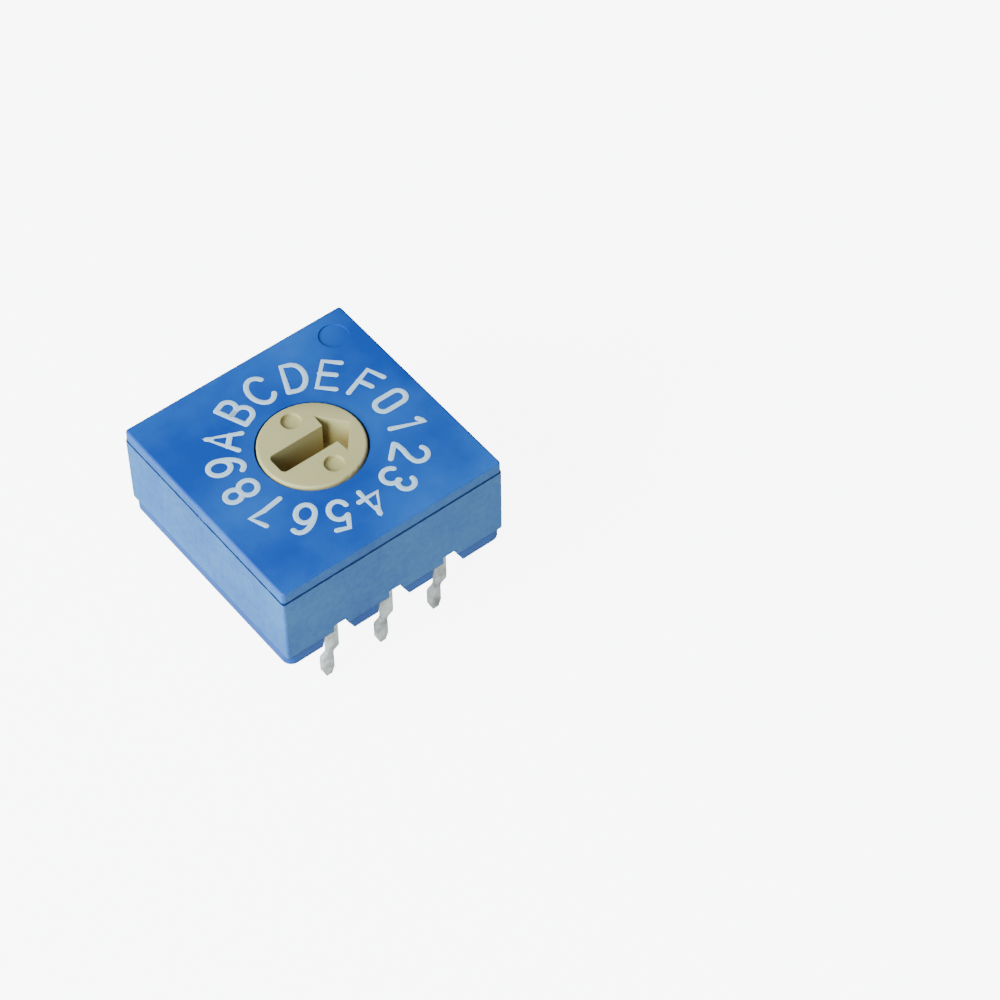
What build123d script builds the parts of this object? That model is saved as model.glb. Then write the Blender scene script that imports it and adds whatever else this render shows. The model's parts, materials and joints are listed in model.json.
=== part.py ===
from build123d import *
import math
import os

# Hex rotary coded switch, 10 mm package. Millimetres, +Z up.
# z = 0 is the circuit board plane: the faces of the four stand-offs rest on it.
# +X is the way the arrow points when the switch reads 0; pin 1 is in the +X +Y quarter.

# ---- package ----
case_w = 10.0            # plan width of the case, both ways
case_corner_r = 0.10
standoff_h = 0.27        # board to underside
flange_h = 0.58          # underside to case rim
case_h = 3.80            # case rim to top face
cap_h = 0.57             # top face to mould line
cap_inset = 0.015        # step in at the mould line
cap_corner_r = 0.15
cap_edge_r = 0.11
line_h, line_deep = 0.05, 0.045   # groove of the mould line

# ---- bore, seal pocket, cavity and detent ring ----
head_r = 2.07            # rotor head
head_run = 0.08          # radial running clearance of the head in the case
roof_t = 1.10            # roof of the case over the rotor flange
seal_section_r = 0.25
seal_play = 0.03
crest_r = 3.95           # detent crests
positions = 16
notch_r = 0.50
notch_depth = 0.06
mark_r = 0.60            # pin 1 mark
mark_at = 3.87
mark_depth = 0.06

# ---- base ----
flange_inset = 0.03      # flange stands in from the case walls
flange_corner_r = 0.42
flange_edge_r = 0.07
plug_w = 8.50
plug_play = 0.02
standoff_at = 4.27
standoff_r = 0.48
standoff_edge = 0.10
field_x, field_y = 7.90, 6.00    # sunk field under the base
field_depth = 0.18
pad_w = 2.80             # raised pad in the middle of the field
pit_r = 0.58
pit_depth = 0.30
pivot_r = 0.30
pivot_play = 0.04
pivot_h = 0.78
window_mouth_r, window_r = 0.31, 0.20   # moulding windows that show the lead frame

# ---- terminals ----
pitch = 2.54
row_space = 7.62
metal_t = 0.22
lead_z = 0.05            # case rim to underside of the lead frame
leg_w = 0.52
leg_out = 4.33           # outer face of a leg where it leaves the base
leg_play = 0.03
kink_top, kink_bottom = 2.00, 3.00      # below the case rim
pin_len = 3.28           # tip below the board plane
waist_w = 0.30           # narrow neck of a leg at its kink
tip_w, tip_run = 0.26, 0.34             # the end narrows to tip_w over tip_run
finger_w = 0.40
finger_t = 0.14
finger_lift = 0.02       # gap left under the code plate
notch_left, notch_right, notch_flare = 0.50, 0.30, 0.18   # base notch beside a leg
notch_round = 0.24       # rounding where the sloped wall meets the underside
notch_splay = 0.38       # the notch's plain wall turns outward at the side face
rim_notch_left, rim_notch_right = 0.36, 0.30
rim_notch_play = 0.06

# ---- rotor ----
head_rise = 0.10         # head above the top face
head_edge_r = 0.10
drum_r = 3.60
drum_play = 0.02         # drum under the roof
drum_gap = 0.50          # lead frame to code plate
slot_depth = 1.50
slot_back, slot_neck, slot_half = -1.65, 0.82, 0.48
barb_x, barb_y, slot_tip = 0.86, 1.07, 1.76
dimple_r, dimple_depth = 0.40, 0.18
dimples = [(0.05, 1.38), (0.10, -1.25)]
plate_t = 0.18           # code plate
plate_rim_r = 3.25
track_half = 0.20
tracks = {"C": 0.80, "8": 1.35, "4": 1.90, "2": 2.45, "1": 3.00}
ball_r = 0.45
ball_play = 0.03
ball_out = 0.04          # ball past the crests into its notch
drum_floor = 0.25        # code plate to ball bore
spring_drop, wire_r = 0.10, 0.07        # spring's coil radius under the ball's
coils = 13

# ---- levels that follow from the sizes above ----
z_face = standoff_h
z_rim = z_face + flange_h
z_top = z_rim + case_h
z_lead = z_rim + lead_z
z_deck = z_lead + metal_t            # top of the base and of the lead frame
z_roof = z_top - roof_t
z_plate = z_deck + drum_gap
z_drum = z_roof - drum_play
z_ball = z_plate + plate_t + drum_floor + ball_r + ball_play
half = case_w / 2
bore_r = head_r + head_run
spring_r = ball_r - spring_drop
seal_mid_r = head_r + seal_section_r + 0.01
row_y = row_space / 2
ball_at = crest_r + ball_out - ball_r

# name: (pin x, side of the row, plate outline boxes, finger root, finger tip, window)
# boxes are (x0, x1, y0, y1) on the lead frame
leads = {
    "1": (pitch, 1, [(1.70, 3.30, 2.30, 4.12)], (2.86, 2.32), (2.86, 0.906), [(1.95, 2.55)]),
    "2": (-pitch, -1, [(-3.60, -1.90, -4.12, -1.70)], (-2.43, -1.72), (-2.43, -0.31), [(-3.25, -2.00)]),
    "4": (-pitch, 1, [(-3.40, -1.70, 2.00, 4.12), (-3.40, -2.90, 1.00, 2.10)],
          (-2.92, 1.30), (-1.386, 1.30), [(-2.35, 2.55)]),
    "8": (pitch, -1, [(1.70, 3.40, -4.12, -1.60), (2.70, 3.30, -1.70, -0.25)],
          (2.72, -0.50), (1.254, -0.50), [(2.95, -2.00)]),
}
common_boxes = [(-0.30, 0.30, -4.12, 4.12), (-1.35, -0.30, -2.35, -1.65),
                (-1.35, -0.30, 2.25, 2.95), (0.28, 0.80, -2.60, -2.00)]
common_finger = ((0.55, -2.02), (0.55, -0.581))
common_windows = [(-0.95, -2.00), (-1.00, 2.60)]


def rounded_slab(w, corner, z0, z1):
    return Pos(0, 0, z0) * extrude(RectangleRounded(w, w, corner), amount=z1 - z0)


def slab(x0, x1, y0, y1, z0, z1):
    return Pos((x0 + x1) / 2, (y0 + y1) / 2, (z0 + z1) / 2) * Box(x1 - x0, y1 - y0, z1 - z0)


def disc(r, z0, z1, x=0.0, y=0.0):
    return Pos(x, y, (z0 + z1) / 2) * Cylinder(r, z1 - z0)


def pin_places():
    return [(x, side) for side in (1, -1) for x in (-pitch, 0.0, pitch)]


def rim_notches():
    # the rim steps up over each leg, where the leg turns down out of the base
    cut = Part()
    for x, side in pin_places():
        y0, y1 = sorted((side * (plug_w / 2 - 0.1), side * (half + 0.5)))
        cut += slab(x - rim_notch_left, x + rim_notch_right, y0, y1,
                    z_rim - 0.5, z_deck + rim_notch_play)
    return cut


def detent_notches():
    cut = Part()
    at = crest_r + notch_depth - notch_r
    for n in range(positions):
        a = math.radians(360 / positions * n)
        cut += disc(notch_r, z_deck + 0.4, z_roof, at * math.cos(a), at * math.sin(a))
    return cut


def make_housing():
    z_line = z_top - cap_h
    shell = rounded_slab(case_w, case_corner_r, z_rim, z_line)
    neck = rounded_slab(case_w - 2 * line_deep, case_corner_r, z_line - 0.1, z_line + line_h + 0.1)
    cap = rounded_slab(case_w - 2 * cap_inset, cap_corner_r, z_line + line_h, z_top)
    cap = fillet(cap.edges().group_by(Axis.Z)[-1], cap_edge_r)
    body = shell + neck + cap
    body -= disc(bore_r, z_deck, z_top + 1)
    body -= disc(seal_mid_r + seal_section_r + seal_play, z_deck,
                 z_roof + 2 * seal_section_r + seal_play)
    body -= disc(crest_r, z_deck, z_roof)
    body -= detent_notches()
    socket = plug_w + 2 * plug_play
    body -= rounded_slab(socket, case_corner_r, z_rim - 1, z_deck + plug_play)
    body -= rim_notches()
    body -= disc(mark_r, z_top - mark_depth, z_top + 1, mark_at, mark_at)
    return body


def leg_notches():
    # beside each leg the base is open to the side, with one flared wall
    cut = Part()
    z_low = z_face - 0.5
    for x, side in pin_places():
        wall = leg_out - metal_t - leg_play
        slope = x + notch_right + notch_flare
        outline = Polyline([(x - notch_left, z_low), (x - notch_left, z_deck + 0.1),
                            (x + notch_right, z_deck + 0.1), (x + notch_right, z_rim),
                            (slope, z_face + notch_round), (slope + 0.25 * notch_round, z_face + 0.45 * notch_round),
                            (slope + 0.6 * notch_round, z_face + 0.12 * notch_round),
                            (slope + notch_round, z_face), (slope + notch_round, z_low)], close=True)
        face = make_face(Plane.XZ * outline)
        cut += Pos(0, side * wall, 0) * extrude(face, amount=2.0, dir=(0, side, 0))
        edge = half - flange_inset
        splay = Polyline([(x - notch_left + 0.05, side * (edge - notch_splay)),
                          (x - notch_left, side * (edge - notch_splay)),
                          (x - notch_left - notch_splay, side * edge),
                          (x - notch_left - notch_splay, side * (edge + 0.5)),
                          (x - notch_left + 0.05, side * (edge + 0.5))], close=True)
        cut += Pos(0, 0, z_low) * extrude(make_face(splay), amount=z_rim - z_low, dir=(0, 0, 1))
    return cut


def windows():
    cut = Part()
    spots = [w for lead in leads.values() for w in lead[5]] + common_windows
    z0 = z_face + field_depth
    for x, y in spots:
        cut += Pos(x, y, (z0 + z_lead) / 2) * Cone(window_mouth_r, window_r, z_lead - z0)
    return cut


def make_base(metal):
    flange = rounded_slab(case_w - 2 * flange_inset, flange_corner_r, z_face, z_rim)
    flange = fillet(flange.edges().group_by(Axis.Z)[0], flange_edge_r)
    plug = rounded_slab(plug_w, case_corner_r, z_rim - 0.1, z_deck)
    body = flange + plug
    body -= slab(-field_x / 2, field_x / 2, -field_y / 2, field_y / 2, z_face - 1, z_face + field_depth)
    body += slab(-pad_w / 2, pad_w / 2, -pad_w / 2, pad_w / 2, z_face + 0.01, z_rim)
    body -= disc(pit_r, z_face - 1, z_face + pit_depth)
    body -= windows()
    body -= leg_notches()
    for sx in (-1, 1):
        for sy in (-1, 1):
            foot = disc(standoff_r, 0, z_face + 0.05, sx * standoff_at, sy * standoff_at)
            foot = fillet(foot.edges().group_by(Axis.Z)[0], standoff_edge)
            body += foot
    body += disc(pivot_r, z_rim, z_deck + pivot_h)
    for piece in metal:
        body -= piece
    return body


def leg_front():
    # front outline of a leg: full width, a waist at the kink, then a paddle with a narrow end
    w, waist, tip = leg_w / 2, waist_w / 2, tip_w / 2
    z_k0, z_k1 = z_rim - kink_top, z_rim - kink_bottom
    z_mid, step = (z_k0 + z_k1) / 2, (z_k0 - z_k1) / 8
    right = [(w, z_deck), (w, z_k0 + step), (w - 0.03, z_k0 - step), (waist, z_mid + step),
             (waist, z_mid - step), (w - 0.03, z_k1 + step), (w, z_k1 - step),
             (w, tip_run - pin_len), (tip, -pin_len)]
    left = [(-u, z) for u, z in reversed(right)]
    face = make_face(Plane.XZ * Polyline(right + left, close=True))
    return extrude(face, amount=half, dir=(0, 1, 0))


def make_leg(x, side):
    # side outline of a leg, drawn with the row on +Y: out of the base, down, kinked in, down
    out, low = leg_out, -pin_len
    z_k0, z_k1 = z_rim - kink_top, z_rim - kink_bottom
    far, near = row_y + metal_t / 2, row_y - metal_t / 2
    line = Polyline([(4.0, z_deck), (out - 0.12, z_deck), (out, z_deck - 0.12), (out, z_k0),
                     (far, z_k1), (far, low), (near, low), (near, z_k1),
                     (out - metal_t, z_k0), (out - metal_t, z_lead), (4.0, z_lead)], close=True)
    face = make_face(Plane.YZ * line)
    leg = Pos(-leg_w / 2, 0, 0) * extrude(face, amount=leg_w, dir=(1, 0, 0))
    leg = Pos(x, 0, 0) * (leg & leg_front())
    return leg if side > 0 else leg.mirror(Plane.XZ)


def make_finger(root, tip):
    # sprung finger: rises from the lead frame to just under the code plate
    (x0, y0), (x1, y1) = root, tip
    run = math.hypot(x1 - x0, y1 - y0)
    rise = z_plate - finger_lift
    z0 = z_deck - finger_t
    side = Polyline([(-0.3, z0), (0.0, z0), (run - 0.25, rise - 0.10 - finger_t), (run - 0.1, rise - finger_t),
                     (run + 0.1, rise - finger_t), (run + 0.30, rise - 0.14 - finger_t),
                     (run + 0.30, rise - 0.14), (run + 0.1, rise), (run - 0.1, rise), (run - 0.25, rise - 0.10),
                     (0.0, z_deck), (-0.3, z_deck)], close=True)
    face = make_face(Plane.XZ * side)
    blade = Pos(0, finger_w / 2, 0) * extrude(face, amount=finger_w, dir=(0, -1, 0))
    turn = math.degrees(math.atan2(y1 - y0, x1 - x0))
    return Pos(x0, y0, 0) * Rot(0, 0, turn) * blade


def make_terminal(name):
    x, side, boxes, root, tip, _ = leads[name]
    piece = make_leg(x, side)
    for x0, x1, y0, y1 in boxes:
        piece += slab(x0, x1, y0, y1, z_lead, z_deck)
    piece += make_finger(root, tip)
    return piece


def make_common():
    piece = make_leg(0.0, 1) + make_leg(0.0, -1)
    for x0, x1, y0, y1 in common_boxes:
        piece += slab(x0, x1, y0, y1, z_lead, z_deck)
    piece += disc(pivot_r + 0.45, z_lead, z_deck)
    piece -= disc(pivot_r + 0.08, z_lead - 1, z_deck + 1)
    piece += make_finger(*common_finger)
    return piece


def finger_angle(name):
    x, y = leads[name][4]
    return math.degrees(math.atan2(y, x))


def sector(r0, r1, a0, a1, z0, z1):
    # ring sector between two angles, less than half a turn
    reach = r1 * 2
    a = [math.radians(a0), math.radians((a0 + a1) / 2), math.radians(a1)]
    wedge = Polyline([(0, 0)] + [(reach * math.cos(t), reach * math.sin(t)) for t in a], close=True)
    ring = Circle(r1) - Circle(r0)
    return Pos(0, 0, z0) * extrude(ring & make_face(wedge), amount=z1 - z0)


def make_code_plate():
    # metal everywhere but where a track reads 0; each step turns the plate one place
    plate = disc(plate_rim_r, z_plate, z_plate + plate_t) - disc(pivot_r + 0.2, z_plate - 1, z_plate + 1)
    step = 360 / positions
    for name in leads:
        weight = int(name)
        r = tracks[name]
        run = [n for n in range(positions) if not n & weight]
        while run:
            first = run[0]
            last = first
            while last + 1 in run:
                last += 1
            a0 = finger_angle(name) + step * (first - 0.5)
            a1 = finger_angle(name) + step * (last + 0.5)
            mid = (a0 + a1) / 2
            for b0, b1 in ((a0, mid + 0.01), (mid, a1)):
                plate -= sector(r - track_half, r + track_half, b0, b1, z_plate - 0.1, z_plate + plate_t + 0.1)
            run = [n for n in run if n > last]
    return plate


def arrow_slot():
    z0, z1 = z_top + head_rise - slot_depth, z_top + 1
    outline = Polyline([(slot_back, slot_half), (slot_neck, slot_half), (barb_x, barb_y), (slot_tip, 0),
                        (barb_x, -barb_y), (slot_neck, -slot_half), (slot_back, -slot_half)], close=True)
    slot = Pos(0, 0, z0) * extrude(make_face(outline), amount=z1 - z0)
    back = slot.edges().filter_by(Axis.Z).group_by(Axis.X)[0]
    return fillet(back, 0.2)


def make_rotor(plate):
    z_head = z_top + head_rise
    head = disc(head_r, z_drum - 0.1, z_head)
    head = fillet(head.edges().group_by(Axis.Z)[-1], head_edge_r)
    body = head + disc(drum_r, z_plate, z_drum)
    body -= arrow_slot()
    for x, y in dimples:
        body -= disc(dimple_r, z_head - dimple_depth, z_head + 1, x, y)
    body -= disc(pivot_r + pivot_play, z_plate - 1, z_deck + pivot_h + 0.05)
    body -= Pos(0, 0, z_ball) * Rot(90, 0, 0) * Cylinder(ball_r + ball_play, 2 * drum_r + 1)
    return body - plate


def make_seal():
    return Pos(0, 0, z_drum + seal_section_r + 0.01) * Torus(seal_mid_r, seal_section_r)


def make_spring():
    # coil spring across the drum, its end coils against the two balls
    end = ball_at - math.sqrt(ball_r**2 - spring_r**2) - wire_r - 0.01
    path = Helix(2 * end / coils, 2 * end, spring_r)
    wire = Plane(origin=path @ 0, z_dir=path % 0) * RegularPolygon(wire_r, 8)
    coil = sweep(wire, path=path, is_frenet=True)
    return Pos(0, end, z_ball) * Rot(90, 0, 0) * coil


def make_ball(side):
    return Pos(0, side * ball_at, z_ball) * Sphere(ball_r)


def save(name, shape, color):
    solids = shape.solids()
    if len(solids) != 1:
        print("NOTE", name, "has", len(solids), "solids")
    piece = solids[0] if len(solids) == 1 else shape
    piece.label = name
    piece.color = Color(*color)
    export_step(piece, "parts/" + name + ".step")


os.makedirs("parts", exist_ok=True)
blue, cream, tin, black = (0.05, 0.16, 0.50), (0.62, 0.60, 0.50), (0.75, 0.75, 0.72), (0.02, 0.02, 0.02)
terminals = {name: make_terminal(name) for name in leads}
common = make_common()
code_plate = make_code_plate()
save("housing", make_housing(), blue)
save("base", make_base(list(terminals.values()) + [common]), blue)
for name, piece in terminals.items():
    save("terminal_" + name, piece, tin)
save("terminal_common", common, tin)
save("rotor", make_rotor(code_plate), cream)
save("code_plate", code_plate, (0.75, 0.55, 0.2))
save("shaft_seal", make_seal(), black)
save("detent_spring", make_spring(), tin)
save("detent_ball_a", make_ball(1), tin)
save("detent_ball_b", make_ball(-1), tin)
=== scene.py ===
import json
import math

import bpy
from mathutils import Matrix, Vector


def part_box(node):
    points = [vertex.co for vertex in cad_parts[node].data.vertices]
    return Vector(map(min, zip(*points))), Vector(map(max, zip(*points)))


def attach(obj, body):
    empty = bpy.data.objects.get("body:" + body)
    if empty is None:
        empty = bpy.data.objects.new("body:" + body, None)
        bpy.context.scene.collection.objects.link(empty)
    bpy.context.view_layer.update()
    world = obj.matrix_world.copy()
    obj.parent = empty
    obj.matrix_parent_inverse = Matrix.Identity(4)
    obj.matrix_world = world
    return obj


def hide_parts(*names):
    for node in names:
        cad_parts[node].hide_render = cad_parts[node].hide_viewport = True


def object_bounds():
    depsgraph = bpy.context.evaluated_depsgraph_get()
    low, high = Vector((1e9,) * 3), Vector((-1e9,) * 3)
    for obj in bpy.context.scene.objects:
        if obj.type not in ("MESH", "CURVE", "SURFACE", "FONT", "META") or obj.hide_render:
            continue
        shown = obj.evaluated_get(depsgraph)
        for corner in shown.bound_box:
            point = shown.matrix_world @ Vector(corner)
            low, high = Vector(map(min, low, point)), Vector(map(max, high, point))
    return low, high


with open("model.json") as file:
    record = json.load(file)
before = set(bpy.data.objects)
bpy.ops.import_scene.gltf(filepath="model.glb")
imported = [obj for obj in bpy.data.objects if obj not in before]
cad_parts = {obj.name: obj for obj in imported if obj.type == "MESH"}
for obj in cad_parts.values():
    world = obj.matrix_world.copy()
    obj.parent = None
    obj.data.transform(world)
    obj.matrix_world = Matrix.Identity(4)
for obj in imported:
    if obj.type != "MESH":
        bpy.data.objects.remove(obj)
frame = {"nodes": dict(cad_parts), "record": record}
cad_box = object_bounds()
MM = 0.001
WELD = 0.0000005                     # points closer than this, in metres, become one
SHARP = 35                           # a fold steeper than this, in degrees, stays a sharp edge

# heights that the Blender pieces share with the frame, in millimetres
case_lo, case_hi = [Vector(c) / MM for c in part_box("housing")]
rotor_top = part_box("rotor")[1][2] / MM
top_z = case_hi.z                    # top face of the case
line_z = top_z - 0.545               # middle of the mould line's groove
rim_z = case_lo.z                    # lower rim of the case, where the base's flange meets it
field_z = 0.45                       # sunk field under the base
base_pit_z = 0.57                    # floor of the round pit in the middle of the base


# ---------------------------------------------------------------- mesh helpers

def pick(*pieces):
    if bpy.context.object and bpy.context.object.mode != "OBJECT":
        bpy.ops.object.mode_set(mode="OBJECT")
    bpy.ops.object.select_all(action="DESELECT")
    for piece in pieces:
        piece.select_set(True)
    bpy.context.view_layer.objects.active = pieces[0]


def settle(piece):
    pick(piece)
    bpy.ops.object.transform_apply(location=True, rotation=True, scale=True)


def join(pieces, name):
    pick(*pieces)
    if len(pieces) > 1:
        bpy.ops.object.join()
    piece = bpy.context.object
    piece.name = name
    piece.data.name = name
    settle(piece)
    return piece


def smooth(piece, angle=SHARP):
    pick(piece)
    bpy.ops.object.shade_smooth_by_angle(angle=math.radians(angle))


def finish_mesh(piece, angle):
    # weld the points, turn every face outward and shade it
    pick(piece)
    bpy.ops.object.mode_set(mode="EDIT")
    bpy.ops.mesh.select_all(action="SELECT")
    bpy.ops.mesh.remove_doubles(threshold=WELD)
    bpy.ops.mesh.normals_make_consistent(inside=False)
    bpy.ops.object.mode_set(mode="OBJECT")
    smooth(piece, angle)


def paint(piece, material):
    piece.data.materials.clear()
    piece.data.materials.append(material)


# ---------------------------------------------------------------- shader helpers

def feed(tree, socket, value):
    # a socket takes another node's output or a plain value
    if hasattr(value, "links"):
        tree.links.new(value, socket)
    else:
        socket.default_value = value


def math_node(tree, kind, *values, clamp=False):
    node = tree.nodes.new("ShaderNodeMath")
    node.operation = kind
    node.use_clamp = clamp
    for socket, value in zip(node.inputs, values):
        feed(tree, socket, value)
    return node.outputs[0]


def times(tree, a, b, clamp=False):
    return math_node(tree, "MULTIPLY", a, b, clamp=clamp)


def ramp(tree, value, slope, start, clamp=True):
    # slope times the value, plus the start, kept between 0 and 1 if clamped
    return math_node(tree, "MULTIPLY_ADD", value, slope, start, clamp=clamp)


def noise_node(tree, where, scale, detail=3.0, rough=0.55):
    # scale is in cells per metre
    node = tree.nodes.new("ShaderNodeTexNoise")
    node.inputs["Scale"].default_value = scale
    node.inputs["Detail"].default_value = detail
    node.inputs["Roughness"].default_value = rough
    tree.links.new(where, node.inputs["Vector"])
    return node.outputs["Fac"]


def mix_colour(tree, factor, a, b):
    node = tree.nodes.new("ShaderNodeMix")
    node.data_type = "RGBA"
    factor_in, a_in, b_in = node.inputs[0], node.inputs[6], node.inputs[7]     # those of a colour mix
    feed(tree, factor_in, factor)
    feed(tree, a_in, a)
    feed(tree, b_in, b)
    return node.outputs[2]


def split_axes(tree, where):
    node = tree.nodes.new("ShaderNodeSeparateXYZ")
    tree.links.new(where, node.inputs[0])
    return node.outputs["X"], node.outputs["Y"], node.outputs["Z"]


# ---------------------------------------------------------------- shared shader groups

def new_group(name, inputs):
    group = bpy.data.node_groups.new(name, "ShaderNodeTree")
    group.interface.new_socket(name="Vector", in_out="INPUT", socket_type="NodeSocketVector")
    for label, kind, value in inputs:
        socket = group.interface.new_socket(name=label, in_out="INPUT", socket_type=kind)
        socket.default_value = value
    for label, kind in (("Color", "NodeSocketColor"), ("Roughness", "NodeSocketFloat"),
                        ("Normal", "NodeSocketVector")):
        group.interface.new_socket(name=label, in_out="OUTPUT", socket_type=kind)
    return group, group.nodes.new("NodeGroupInput").outputs


def end_group(group, colour, rough, height, strength, distance):
    # the group gives colour, roughness and a bumped normal
    bump = group.nodes.new("ShaderNodeBump")
    bump.inputs["Distance"].default_value = distance
    feed(group, bump.inputs["Strength"], strength)
    feed(group, bump.inputs["Height"], height)
    out = group.nodes.new("NodeGroupOutput")
    group.links.new(colour, out.inputs["Color"])
    group.links.new(rough, out.inputs["Roughness"])
    group.links.new(bump.outputs["Normal"], out.inputs["Normal"])
    return group


def build_moulded_skin():
    # flow mottle of moulded plastic, with fine spark-eroded grain and shallow waves
    group, src = new_group(
        "moulded_skin",
        [("Body", "NodeSocketColor", (0.5, 0.5, 0.5, 1)), ("Pale", "NodeSocketColor", (0.6, 0.6, 0.6, 1)),
         ("Mottle", "NodeSocketFloat", 0.5), ("Grain", "NodeSocketFloat", 0.2),
         ("Gloss", "NodeSocketFloat", 0.4)])
    flow = noise_node(group, src["Vector"], 260.0, 4.0)
    cloud = noise_node(group, src["Vector"], 90.0, 2.0)
    grain = noise_node(group, src["Vector"], 14000.0, 2.0)
    wave = noise_node(group, src["Vector"], 1300.0, 3.0)
    soft = times(group, math_node(group, "ADD", flow, cloud), 0.5)
    factor = times(group, ramp(group, soft, 5.0, -2.0), src["Mottle"], clamp=True)
    colour = mix_colour(group, factor, src["Body"], src["Pale"])
    rough = math_node(group, "ADD", src["Gloss"], times(group, wave, 0.14))
    height = math_node(group, "ADD", grain, times(group, wave, 1.6))
    return end_group(group, colour, rough, height, src["Grain"], 0.000012)


def build_drawn_metal():
    # strip metal: faint rolling lines along Z, plating blush and dull spots
    group, src = new_group(
        "drawn_metal",
        [("Bright", "NodeSocketColor", (0.8, 0.8, 0.8, 1)), ("Dull", "NodeSocketColor", (0.5, 0.5, 0.5, 1)),
         ("Blush", "NodeSocketFloat", 0.5), ("Polish", "NodeSocketFloat", 0.2)])
    along = group.nodes.new("ShaderNodeMapping")
    along.inputs["Scale"].default_value = (1.0, 1.0, 0.12)
    group.links.new(src["Vector"], along.inputs["Vector"])
    lines = noise_node(group, along.outputs["Vector"], 9000.0, 2.0)
    blotch = noise_node(group, src["Vector"], 1500.0, 4.0, 0.65)
    mask = ramp(group, blotch, 4.0, -1.7)
    colour = mix_colour(group, times(group, mask, src["Blush"], clamp=True), src["Bright"], src["Dull"])
    rough = math_node(group, "ADD", src["Polish"], times(group, mask, 0.15))
    height = math_node(group, "ADD", times(group, lines, 0.5), blotch)
    return end_group(group, colour, rough, height, 0.35, 0.00003)


moulded_skin = build_moulded_skin()
drawn_metal = build_drawn_metal()


# ---------------------------------------------------------------- materials

def new_material(name):
    material = bpy.data.materials.new(name)
    material.use_nodes = True
    tree = material.node_tree
    tree.nodes.clear()
    shader = tree.nodes.new("ShaderNodeBsdfPrincipled")
    out = tree.nodes.new("ShaderNodeOutputMaterial")
    tree.links.new(shader.outputs["BSDF"], out.inputs["Surface"])
    where = tree.nodes.new("ShaderNodeTexCoord").outputs["Object"]
    return material, tree, shader, where


def skinned(name, group, **values):
    # a new material that wears one of the shared groups
    material, tree, shader, where = new_material(name)
    node = tree.nodes.new("ShaderNodeGroup")
    node.node_tree = group
    tree.links.new(where, node.inputs["Vector"])
    for label, value in values.items():
        node.inputs[label].default_value = value
    for label, socket in (("Color", "Base Color"), ("Roughness", "Roughness"), ("Normal", "Normal")):
        tree.links.new(node.outputs[label], shader.inputs[socket])
    return material, tree, shader, node.outputs, where


def plastic(name, body, pale, mottle, grain, gloss, level=0.4):
    made = skinned(name, moulded_skin, Body=body, Pale=pale, Mottle=mottle, Grain=grain, Gloss=gloss)
    made[2].inputs["Specular IOR Level"].default_value = level
    return made


def metal(name, bright, dull, blush, polish, metallic=1.0):
    made = skinned(name, drawn_metal, Bright=bright, Dull=dull, Blush=blush, Polish=polish)
    made[2].inputs["Metallic"].default_value = metallic
    return made


blue_body = (0.003, 0.045, 0.285, 1)
blue_pale = (0.018, 0.112, 0.42, 1)
# painted sheen: the paler blue that the side walls are painted towards
sheen_pale = (0.075, 0.225, 0.42, 1)
# darker blue laid along the mould line's groove and the joint of case and base
blue_dark_line = (0.002, 0.026, 0.125, 1)
ink, ink_worn = (0.46, 0.60, 0.74, 1), (0.34, 0.49, 0.70, 1)
rubber, rubber_worn = (0.012, 0.012, 0.013, 1), (0.03, 0.03, 0.032, 1)
gold, gold_dull = (0.86, 0.62, 0.24, 1), (0.60, 0.40, 0.16, 1)
steel, steel_dull = (0.62, 0.62, 0.63, 1), (0.40, 0.40, 0.41, 1)
cream, cream_pale = (0.43, 0.365, 0.165, 1), (0.50, 0.435, 0.225, 1)
# painted shade: the yellow-brown that the rotor's slot and dimples are painted towards
slot_shade_ochre = (0.30, 0.205, 0.060, 1)
tin, tin_dull = (0.95, 0.92, 0.85, 1), (0.27, 0.25, 0.22, 1)
bare_bronze = (0.15, 0.115, 0.075, 1)


def dark_line_at(tree, where, level, ragged_mm, strength):
    # mask that darkens the colour along a level joint or groove, ragged at its edges
    fade = 30000.0                   # per metre away from the joint
    height = split_axes(tree, where)[2]
    off_line = math_node(tree, "ABSOLUTE", math_node(tree, "SUBTRACT", height, level * MM))
    ragged = times(tree, noise_node(tree, where, 2600.0), ragged_mm * MM)
    return ramp(tree, math_node(tree, "SUBTRACT", off_line, ragged), -fade, strength)


def painted_wall_sheen(tree, where, colour, strength):
    # painted sheen: the side walls are painted paler than the smooth top, standing for the sheen of their
    # spark-eroded finish, with fine speckle
    edge, fade = 16000.0, 0.055      # how fast it starts, per metre, and how far inside the wall, in mm
    x, y, z = split_axes(tree, where)
    out = math_node(tree, "MAXIMUM", math_node(tree, "ABSOLUTE", x), math_node(tree, "ABSOLUTE", y))
    wall = ramp(tree, out, edge, -edge * (case_hi.x - fade) * MM)
    speckle = ramp(tree, noise_node(tree, where, 3600.0, 4.0, 0.7), 2.2, -0.55)
    cloud = ramp(tree, noise_node(tree, where, 420.0, 3.0, 0.6), 1.6, -0.25)
    both = times(tree, math_node(tree, "ADD", speckle, cloud), 0.5 * strength)
    return mix_colour(tree, times(tree, both, wall), colour, sheen_pale)


def build_moulded_blue(name, mottle, gloss, painted_sheen, joints):
    # blue plastic, darker along the mould line's groove and where case and base meet;
    # a joint is its height in mm, how ragged it is in mm, and how dark
    material, tree, shader, skin, where = plastic(name, blue_body, blue_pale, mottle, 0.5, gloss, 0.3)
    # painted sheen on the side walls
    colour = painted_wall_sheen(tree, where, skin["Color"], painted_sheen)
    for height, ragged_mm, strength in joints:
        # darker along each listed groove or joint
        colour = mix_colour(tree, dark_line_at(tree, where, height, ragged_mm, strength), colour, blue_dark_line)
    tree.links.new(colour, shader.inputs["Base Color"])
    return material


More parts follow.
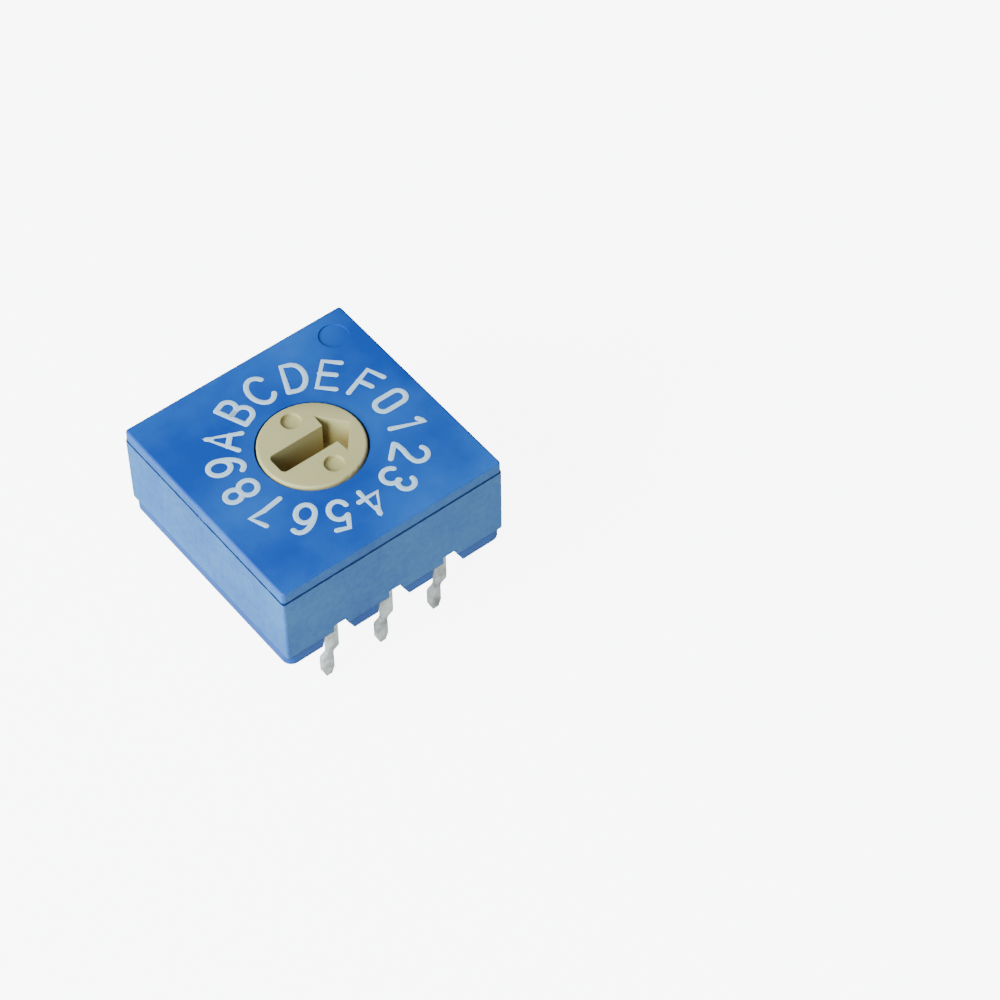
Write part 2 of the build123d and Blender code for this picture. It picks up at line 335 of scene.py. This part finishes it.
def build_rotor_cream():
    # cream, with painted shade turning it a deep yellow-brown down in the slot and the dimples
    fade, lip = 900.0, 0.04          # per metre of depth, from this many mm below the top
    material, tree, shader, skin, where = plastic("rotor_cream", cream, cream_pale, 0.6, 0.35, 0.38)
    # painted shade: darker with depth below the rotor's top
    recess_shade = ramp(tree, split_axes(tree, where)[2], -fade, fade * (rotor_top - lip) * MM)
    colour = mix_colour(tree, times(tree, recess_shade, 0.85), skin["Color"], slot_shade_ochre)
    tree.links.new(colour, shader.inputs["Base Color"])
    shader.inputs["Subsurface Weight"].default_value = 0.15
    shader.inputs["Subsurface Scale"].default_value = 0.4 * MM
    return material


def build_pin_tin():
    # bright tin, with the bare bronze of the sheared tips showing brown
    tip_z, fade, ragged_mm = -3.03, 14000.0, 0.35
    material, tree, shader, skin, where = metal("pin_tin", tin, tin_dull, 0.9, 0.14, 0.8)
    ragged = times(tree, noise_node(tree, where, 4000.0), ragged_mm * MM)
    height = math_node(tree, "ADD", split_axes(tree, where)[2], ragged)
    bare = times(tree, math_node(tree, "SUBTRACT", height, tip_z * MM), -fade, clamp=True)
    tree.links.new(mix_colour(tree, bare, skin["Color"], bare_bronze), shader.inputs["Base Color"])
    rough = math_node(tree, "ADD", skin["Roughness"], times(tree, bare, 0.25))
    tree.links.new(rough, shader.inputs["Roughness"])
    return material


print_ink = plastic("print_ink", ink, ink_worn, 0.5, 0.5, 0.50)[0]
seal_black = plastic("seal_black", rubber, rubber_worn, 0.4, 0.3, 0.45)[0]
contact_gold = metal("contact_gold", gold, gold_dull, 0.5, 0.18)[0]
spring_bright = metal("spring_bright", steel, steel_dull, 0.4, 0.16)[0]
case_blue = build_moulded_blue("case_blue", 0.8, 0.42, 1.0, ((line_z, 0.10, 0.60), (rim_z, 0.05, 0.35)))
base_blue = build_moulded_blue("base_blue", 0.4, 0.38, 0.6, ((rim_z, 0.07, 0.55),))
rotor_cream = build_rotor_cream()
pin_tin = build_pin_tin()


# ---------------------------------------------------------------- dressed copies of the outer parts

def dress(node, material, edge):
    # a merged, softened copy stands for the frame's own loose triangles
    pick(frame["nodes"][node])
    bpy.ops.object.duplicate()
    piece = bpy.context.object
    piece.name = node + "_finished"
    piece.data.name = piece.name
    bpy.ops.mesh.customdata_custom_splitnormals_clear()
    bpy.ops.object.mode_set(mode="EDIT")
    bpy.ops.mesh.select_all(action="SELECT")
    bpy.ops.mesh.remove_doubles(threshold=WELD)
    bpy.ops.mesh.dissolve_limited(angle_limit=math.radians(0.5))
    bpy.ops.object.mode_set(mode="OBJECT")
    if edge:
        soft = piece.modifiers.new("soft_edges", "BEVEL")
        soft.width = edge * MM
        soft.segments = 3
        soft.limit_method = "ANGLE"
        soft.angle_limit = math.radians(SHARP)
        soft.use_clamp_overlap = True
        bpy.ops.object.modifier_apply(modifier=soft.name)
    smooth(piece)
    paint(piece, material)
    body = next(b for b, nodes in frame["record"]["behaviour"]["bodies"].items() if node in nodes)
    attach(piece, body)
    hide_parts(node)
    return piece


pin_edge = 0.02                      # soft edge of the stamped pins, in mm
for node, material, edge in (("housing", case_blue, 0.0), ("base", base_blue, 0.0),
                             ("rotor", rotor_cream, 0.0), ("terminal_1", pin_tin, pin_edge),
                             ("terminal_2", pin_tin, pin_edge), ("terminal_4", pin_tin, pin_edge),
                             ("terminal_8", pin_tin, pin_edge), ("terminal_common", pin_tin, pin_edge)):
    piece = dress(node, material, edge)
for node, material in (("code_plate", contact_gold), ("shaft_seal", seal_black),
                       ("detent_spring", spring_bright), ("detent_ball_a", spring_bright),
                       ("detent_ball_b", spring_bright)):
    paint(frame["nodes"][node], material)


# ---------------------------------------------------------------- dial print and moulded characters

def arc(cx, cy, rx, ry, start, end, steps=14):
    turn = [math.radians(start + (end - start) * i / steps) for i in range(steps + 1)]
    return [(cx + rx * math.cos(t), cy + ry * math.sin(t)) for t in turn]


def ring(cx, cy, rx, ry):
    return arc(cx, cy, rx, ry, 90, 450, 28)


def tall_ring(rx, ry):
    # an upright oval with straight flanks
    k = ry - rx
    return arc(0, k, rx, rx * 0.95, 180, 0) + arc(0, -k, rx, rx * 0.95, 360, 180) + [(-rx, k)]


# strokes of each character on its own centre, 1.32 tall between stroke centres
CHARACTERS = {
    "0": [tall_ring(0.31, 0.66)],
    "1": [[(0.02, -0.66), (0.02, 0.66), (-0.06, 0.60), (-0.20, 0.44)]],
    "2": [arc(0.0, 0.32, 0.35, 0.34, 168, -22)
          + [(0.18, -0.02), (-0.12, -0.28), (-0.33, -0.54), (-0.36, -0.66)],
          [(-0.36, -0.66), (0.36, -0.66)]],
    "3": [arc(-0.02, 0.34, 0.31, 0.32, 165, -88), arc(-0.02, -0.30, 0.36, 0.36, 90, -165)],
    "4": [[(0.13, -0.66), (0.13, 0.66), (-0.42, -0.28), (0.40, -0.28)],
          [(0.11, 0.60), (0.03, 0.30)]],
    "5": [[(0.28, 0.66), (-0.20, 0.66), (-0.29, 0.06)], arc(-0.01, -0.22, 0.36, 0.43, 137, -155)],
    "6": [ring(0.0, -0.24, 0.35, 0.42), arc(0.10, -0.16, 0.45, 0.82, 178, 62)],
    "7": [[(-0.34, 0.66), (0.34, 0.66), (0.10, 0.12), (-0.10, -0.66)]],
    "8": [ring(0.0, 0.34, 0.29, 0.32), ring(0.0, -0.31, 0.35, 0.35)],
    "9": [ring(0.0, 0.24, 0.35, 0.42), arc(-0.10, 0.16, 0.45, 0.82, -2, -118)],
    "A": [[(-0.41, -0.66), (0.0, 0.66), (0.41, -0.66)], [(-0.28, -0.24), (0.28, -0.24)],
          [(0.0, 0.60), (0.0, 0.42)]],
    "B": [[(-0.34, -0.66), (-0.34, 0.66)],
          [(-0.34, 0.66)] + arc(0.02, 0.35, 0.28, 0.31, 90, -90) + [(-0.34, 0.04)],
          [(-0.34, 0.04)] + arc(0.04, -0.31, 0.34, 0.35, 90, -90) + [(-0.34, -0.66)]],
    "C": [arc(0.0, 0.0, 0.45, 0.66, 40, 320, 22)],
    "D": [[(-0.38, -0.66), (-0.38, 0.66)] + arc(-0.06, 0.0, 0.46, 0.66, 90, -90, 18) + [(-0.38, -0.66)]],
    "E": [[(0.38, 0.66), (-0.34, 0.66), (-0.34, -0.66), (0.38, -0.66)], [(-0.34, 0.04), (0.28, 0.04)]],
    "F": [[(0.38, 0.66), (-0.34, 0.66), (-0.34, -0.66)], [(-0.34, 0.04), (0.24, 0.04)]],
}

# how the print strays from its even ring: a lean in degrees, and an offset in mm
LEAN = {"A": 1.5, "F": -1.2, "E": -0.5, "2": -0.8, "5": 0.6}
NUDGE = {"A": (-0.06, -0.03), "B": (-0.05, -0.02), "C": (-0.05, 0.0), "D": (0.02, -0.02),
         "E": (-0.05, 0.05), "F": (0.0, -0.04), "1": (0.05, 0.0), "2": (0.08, 0.0), "3": (0.06, 0.0),
         "4": (0.02, 0.0), "6": (0.04, -0.10), "7": (0.0, -0.05), "8": (0.0, -0.07), "9": (-0.02, -0.08)}


def stroke(points, radius):
    # one pen stroke: a round bar along the points, with a ball at each end
    bpy.ops.curve.primitive_nurbs_path_add(location=(0, 0, 0))
    bar = bpy.context.object
    bar.data.splines.clear()
    line = bar.data.splines.new("POLY")
    line.points.add(len(points) - 1)
    for spot, (x, y) in zip(line.points, points):
        spot.co = (x * MM, y * MM, 0, 1)
    bar.data.dimensions = "3D"
    bar.data.bevel_depth = radius * MM
    bar.data.bevel_resolution = 2
    bar.data.use_fill_caps = True
    pick(bar)
    bpy.ops.object.convert(target="MESH")
    made = [bpy.context.object]
    for x, y in {points[0], points[-1]}:
        bpy.ops.mesh.primitive_uv_sphere_add(segments=12, ring_count=8, radius=radius * MM,
                                             location=(x * MM, y * MM, 0))
        made.append(bpy.context.object)
    return made


def character(mark, width, height, pen, depth, place):
    # place takes the character's own plane (x right, y up, z out) to the part
    bars = []
    for points in CHARACTERS[mark]:
        bars += stroke([(x * width, y * height) for x, y in points], pen)
    piece = join(bars, "mark_" + mark)
    flat = Matrix.Diagonal((1, 1, depth / pen, 1))
    piece.data.transform(place @ flat)
    finish_mesh(piece, 60)
    return piece


def add_to_case(piece, material):
    paint(piece, material)
    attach(piece, "case")


def dial_print():
    # sixteen positions, tops outward, counting up clockwise from the arrow's rest
    centre, ring_r, step = Vector((0.13, -0.07)), 3.45, 22.5
    pen, depth = 0.105, 0.010
    marks = []
    for n, mark in enumerate("0123456789ABCDEF"):
        turn = math.radians(LEAN.get(mark, 0.0) - step * n)
        off_x, off_y = NUDGE.get(mark, (0.0, 0.0))
        x = centre.x + ring_r * math.cos(turn) + off_x
        y = centre.y + ring_r * math.sin(turn) + off_y
        upright = Matrix.Rotation(turn - math.pi / 2, 4, "Z")
        place = Matrix.Translation((x * MM, y * MM, top_z * MM)) @ upright
        marks.append(character(mark, 1.0, 1.0, pen, depth, place))
    add_to_case(join(marks, "dial_print"), print_ink)


def pin_characters():
    # raised beside the pins, read from below with +X up
    width, height, pen, depth = 0.92, 0.86, 0.115, 0.10
    face_down = Matrix(((0, 1, 0, 0), (1, 0, 0, 0), (0, 0, -1, 0), (0, 0, 0, 1)))
    spots = (("2", -2.95, -0.90), ("C", 0.15, -2.00), ("8", 3.10, -0.85),
             ("4", -2.95, 1.20), ("C", 0.10, 2.35), ("1", 3.00, 2.50))
    marks = []
    for mark, x, y in spots:
        place = Matrix.Translation((x * MM, y * MM, field_z * MM)) @ face_down
        marks.append(character(mark, width, height, pen, depth, place))
    add_to_case(join(marks, "pin_characters"), base_blue)


def place_stub(name, size, spot):
    # size and place in mm, of a mesh that was just added
    stub = bpy.context.object
    stub.name = name
    stub.scale = [s * MM for s in size]
    stub.location = [s * MM for s in spot]
    settle(stub)
    return stub


def gate_scar():
    # the trimmed injection gate: a torn stub across the mould line on the -X side
    bpy.ops.mesh.primitive_cube_add(size=1.0)
    stub = place_stub("gate_scar", (0.05, 0.34, 0.13), (case_lo.x + 0.027, 0.10, line_z - 0.01))
    bpy.ops.object.mode_set(mode="EDIT")
    bpy.ops.mesh.select_all(action="SELECT")
    bpy.ops.mesh.subdivide(number_cuts=5)
    bpy.ops.mesh.bevel(offset=0.008 * MM, segments=2, affect="EDGES")
    bpy.ops.object.mode_set(mode="OBJECT")
    for point in stub.data.vertices:
        y, z = point.co.y / MM, point.co.z / MM
        point.co.x += 0.012 * MM * (1 + math.sin(17 * y + 31 * z) * math.cos(41 * y - 13 * z))
        point.co.z += 0.015 * MM * math.sin(29 * y)
    finish_mesh(stub, 30)
    add_to_case(stub, base_blue)


def pit_gate():
    # the torn stub that the gate left on the floor of the pit under the base
    bpy.ops.mesh.primitive_uv_sphere_add(segments=24, ring_count=14, radius=1.0)
    stub = place_stub("pit_gate", (0.17, 0.26, 0.11), (-0.02, 0.07, base_pit_z + 0.01))
    for point in stub.data.vertices:
        x, y = point.co.x / MM, point.co.y / MM
        point.co.z += 0.045 * MM * math.sin(21 * x + 9 * y) * math.cos(17 * y - 6 * x)
        point.co.x += 0.02 * MM * math.sin(26 * y)
    finish_mesh(stub, 50)
    add_to_case(stub, base_blue)


dial_print()
pin_characters()
gate_scar()
pit_gate()


# ---------------------------------------------------------------- floor, light and camera

table_glow, table_seen = 0.24, 7.5       # light the table gives the object, and how bright it looks
air_glow, air_seen = 0.26, 7.5           # the same of the air, with the second added to the first
cool, white = (0.80, 0.97, 1.0), (1.0, 1.0, 1.0)
LAMPS = (                                # name, place and size in metres, power in watts, tint
    ("left_wall", (-0.34, -0.02, 0.20), 0.30, 6.0, cool),
    ("overhead", (-0.12, -0.10, 0.42), 0.20, 0.45, white),
    ("front_fill", (0.14, -0.34, 0.12), 0.25, 0.06, cool),
)


def camera_ray(tree):
    return tree.nodes.new("ShaderNodeLightPath").outputs["Is Camera Ray"]


def floor_sheet():
    bpy.ops.mesh.primitive_plane_add(size=2.0, location=(0, 0, cad_box[0][2]))
    sheet = bpy.context.object
    sheet.name = "floor_sheet"
    settle(sheet)
    # lit from beneath like a light table, and clear when looked at from under it
    material, tree, shader, where = new_material("pale_floor")
    colour = mix_colour(tree, noise_node(tree, where, 6.0, 2.0), (0.40, 0.42, 0.43, 1), (0.42, 0.44, 0.45, 1))
    tree.links.new(colour, shader.inputs["Base Color"])
    shader.inputs["Roughness"].default_value = 0.9
    shader.inputs["Emission Color"].default_value = (1, 1, 1, 1)
    glow = ramp(tree, camera_ray(tree), table_seen - table_glow, table_glow, clamp=False)
    tree.links.new(glow, shader.inputs["Emission Strength"])
    clear = tree.nodes.new("ShaderNodeBsdfTransparent")
    side = tree.nodes.new("ShaderNodeNewGeometry").outputs["Backfacing"]
    mix = tree.nodes.new("ShaderNodeMixShader")
    tree.links.new(side, mix.inputs[0])
    tree.links.new(shader.outputs["BSDF"], mix.inputs[1])
    tree.links.new(clear.outputs["BSDF"], mix.inputs[2])
    out = next(n for n in tree.nodes if n.bl_idname == "ShaderNodeOutputMaterial")
    tree.links.new(mix.outputs["Shader"], out.inputs["Surface"])
    paint(sheet, material)


def studio():
    for name, spot, size, power, tint in LAMPS:
        bpy.ops.object.light_add(type="AREA", location=spot)
        lamp = bpy.context.object
        lamp.name = name
        lamp.data.shape = "SQUARE"
        lamp.data.size = size
        lamp.data.energy = power
        lamp.data.color = tint
        lamp.rotation_euler = (-Vector(spot)).to_track_quat("-Z", "Y").to_euler()
    world = bpy.data.worlds.new("studio_air")
    bpy.context.scene.world = world
    world.use_nodes = True
    tree = world.node_tree
    air = tree.nodes["Background"]
    air.inputs["Color"].default_value = (0.84, 0.96, 1.0, 1)
    glow = ramp(tree, camera_ray(tree), air_seen, air_glow, clamp=False)
    tree.links.new(glow, air.inputs["Strength"])


def camera():
    spot = Vector((-44.89, -69.10, 98.18 + top_z)) * MM
    aim, roll = Vector((0.3857, 0.4968, -0.7774)), -0.67
    look = aim.to_track_quat("-Z", "Y").to_matrix().to_4x4()
    bpy.ops.object.camera_add(location=spot)
    lens = bpy.context.object
    lens.name = "view_camera"
    lens.rotation_euler = (look @ Matrix.Rotation(math.radians(roll), 4, "Z")).to_euler()
    lens.data.lens = 124.8
    lens.data.sensor_width = 36.0
    lens.data.clip_start = 0.005
    lens.data.clip_end = 5.0
    bpy.context.scene.camera = lens


floor_sheet()
studio()
camera()
